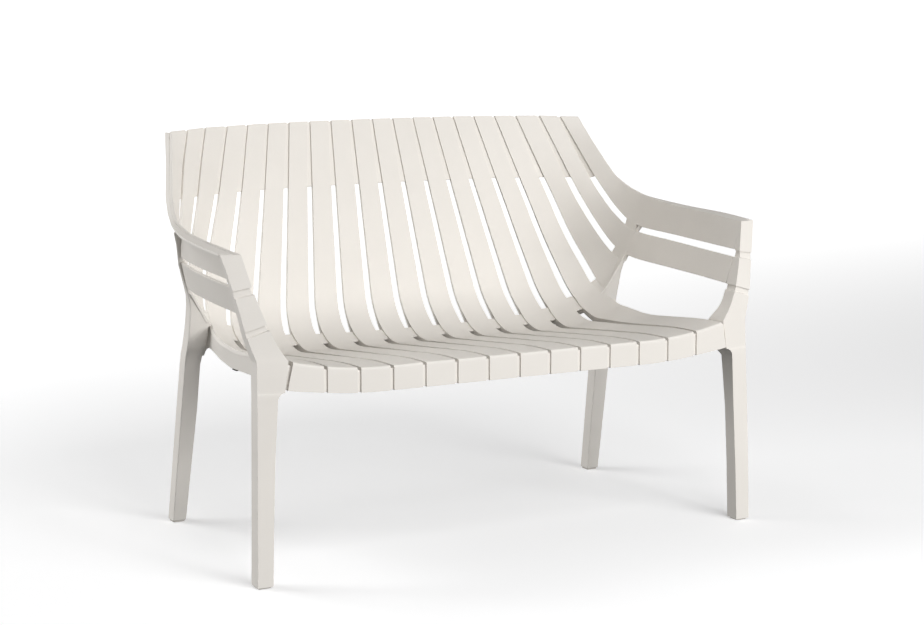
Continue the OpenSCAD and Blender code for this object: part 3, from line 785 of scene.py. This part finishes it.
def side_skirt(side):
    rows = sorted({row[0] for row in SKIRT} | set(steps(14, 510, 60)))
    add_piece("side_skirt_" + side, [build([skirt_ring(s) for s in rows], side == "left")])


def finish_cad_nodes():
    """Glides and bumpers keep their CAD shape."""
    for kind, material in (("glide", GLIDE), ("bumper", BUMPER)):
        for name in NODES:
            if name.startswith(kind):
                data = frame["nodes"][name].data
                data.materials.clear()
                data.materials.append(material)


for number in range(1, SLATS + 1):
    if number in SEAT_SLATS:
        seat_slat(number)
    else:
        side_slat(number)
webs()
rails()
for hand in ("left", "right"):
    corner_webs(hand)
    rim(hand)
    front_leg(hand)
    rear_leg(hand)
    side_skirt(hand)
finish_cad_nodes()


# ---------------------------------------------------------------- scene
FLOOR_GLOW, WALL_GLOW = 0.355, 0.88   # the pale floor glows softly, more towards the back
GLOW_FROM, GLOW_TO = 0.3, 4.5         # the y between which the glow grows
FLOOR_FRONT, FLOOR_BACK, FLOOR_SIDE = -9.0, 6.0, 12.0
WALL_TOP, WALL_BEND = 7.0, 2.5        # top of the wall, and its radius at the floor
BEND_STEPS = 12


def floor_material():
    mat = bpy.data.materials.new("studio_floor")
    mat.use_nodes = True
    tree = mat.node_tree
    shader = tree.nodes["Principled BSDF"]
    for name, value in (("Base Color", (0.80, 0.80, 0.805, 1)), ("Roughness", 0.7),
                        ("Specular IOR Level", 0.1), ("Emission Color", (1, 1, 1, 1))):
        shader.inputs[name].default_value = value
    place_of = tree.nodes.new("ShaderNodeTexCoord")
    split = tree.nodes.new("ShaderNodeSeparateXYZ")
    glow = node_of(tree, "ShaderNodeMapRange", From_Min=GLOW_FROM, From_Max=GLOW_TO,
                   To_Min=FLOOR_GLOW, To_Max=WALL_GLOW)
    glow.interpolation_type = "SMOOTHSTEP"
    tree.links.new(place_of.outputs["Object"], split.inputs["Vector"])
    tree.links.new(split.outputs["Y"], glow.inputs["Value"])
    tree.links.new(glow.outputs["Result"], shader.inputs["Emission Strength"])
    return mat


def floor():
    """Floor that curves up into a wall; it lights nothing but itself."""
    section = [(FLOOR_FRONT, 0.0)]
    for angle in steps(0, math.pi / 2, BEND_STEPS):
        section.append((FLOOR_BACK - WALL_BEND * (1 - math.sin(angle)),
                        WALL_BEND * (1 - math.cos(angle))))
    section.append((FLOOR_BACK, WALL_TOP))
    bm = bmesh.new()
    left, right = ([bm.verts.new((x, y, z)) for y, z in section] for x in (-FLOOR_SIDE, FLOOR_SIDE))
    for i in range(len(section) - 1):
        bm.faces.new((left[i], right[i], right[i + 1], left[i + 1]))
    mesh = bpy.data.meshes.new("studio_floor")
    bm.to_mesh(mesh)
    bm.free()
    mesh.materials.append(floor_material())
    for poly in mesh.polygons:
        poly.use_smooth = True
    obj = bpy.data.objects.new("studio_floor", mesh)
    bpy.context.scene.collection.objects.link(obj)
    obj.visible_diffuse = False
    obj.visible_glossy = False


LIGHT_AIM = Vector((0, 0, 0.4))
LIGHT_DISTANCE = 5
# Name, azimuth (0 in front, 90 to the right), elevation, size in metres and power
LIGHTS = [("key_high", 0, 45, 2.2, 96), ("key_low", 20, 9, 2.2, 151),
          ("back_light", -130, 42, 2.2, 65), ("side_light", -117, 1.5, 1.5, 134)]
WORLD_STRENGTH = 0.17


def area_light(name, azimuth, elevation, size, power):
    """Soft square light that faces the bench."""
    turn, rise = math.radians(azimuth), math.radians(elevation)
    offset = Vector((math.cos(rise) * math.sin(turn), -math.cos(rise) * math.cos(turn),
                     math.sin(rise)))
    light = bpy.data.lights.new(name, "AREA")
    light.size = size
    light.energy = power
    obj = bpy.data.objects.new(name, light)
    obj.location = LIGHT_AIM + LIGHT_DISTANCE * offset
    obj.rotation_euler = (-offset).to_track_quat("-Z", "Y").to_euler()
    bpy.context.scene.collection.objects.link(obj)


def studio_light():
    scene = bpy.context.scene
    scene.view_settings.view_transform = "Standard"
    world = bpy.data.worlds.new("studio")
    world.use_nodes = True
    background = world.node_tree.nodes["Background"]
    background.inputs["Color"].default_value = (1, 1, 1, 1)
    background.inputs["Strength"].default_value = WORLD_STRENGTH
    scene.world = world
    for light in LIGHTS:
        area_light(*light)


CAMERA_PLACE = (-2027.5, -3544.1, 1130.2)
CAMERA_YAW, CAMERA_DIP = 0.492455, 0.158415   # to the right and down, in radians
SENSOR, LENS = 36, 83.36


def camera():
    data = bpy.data.cameras.new("photo_view")
    data.sensor_width = SENSOR
    data.lens = LENS
    data.clip_end = 100
    obj = bpy.data.objects.new("photo_view", data)
    x, y, z = CAMERA_PLACE
    obj.location = (x * MM, (y - DEPTH_MID) * MM, z * MM)
    obj.rotation_euler = (math.pi / 2 - CAMERA_DIP, 0, -CAMERA_YAW)
    bpy.context.scene.collection.objects.link(obj)
    bpy.context.scene.camera = obj


floor()
camera()
studio_light()
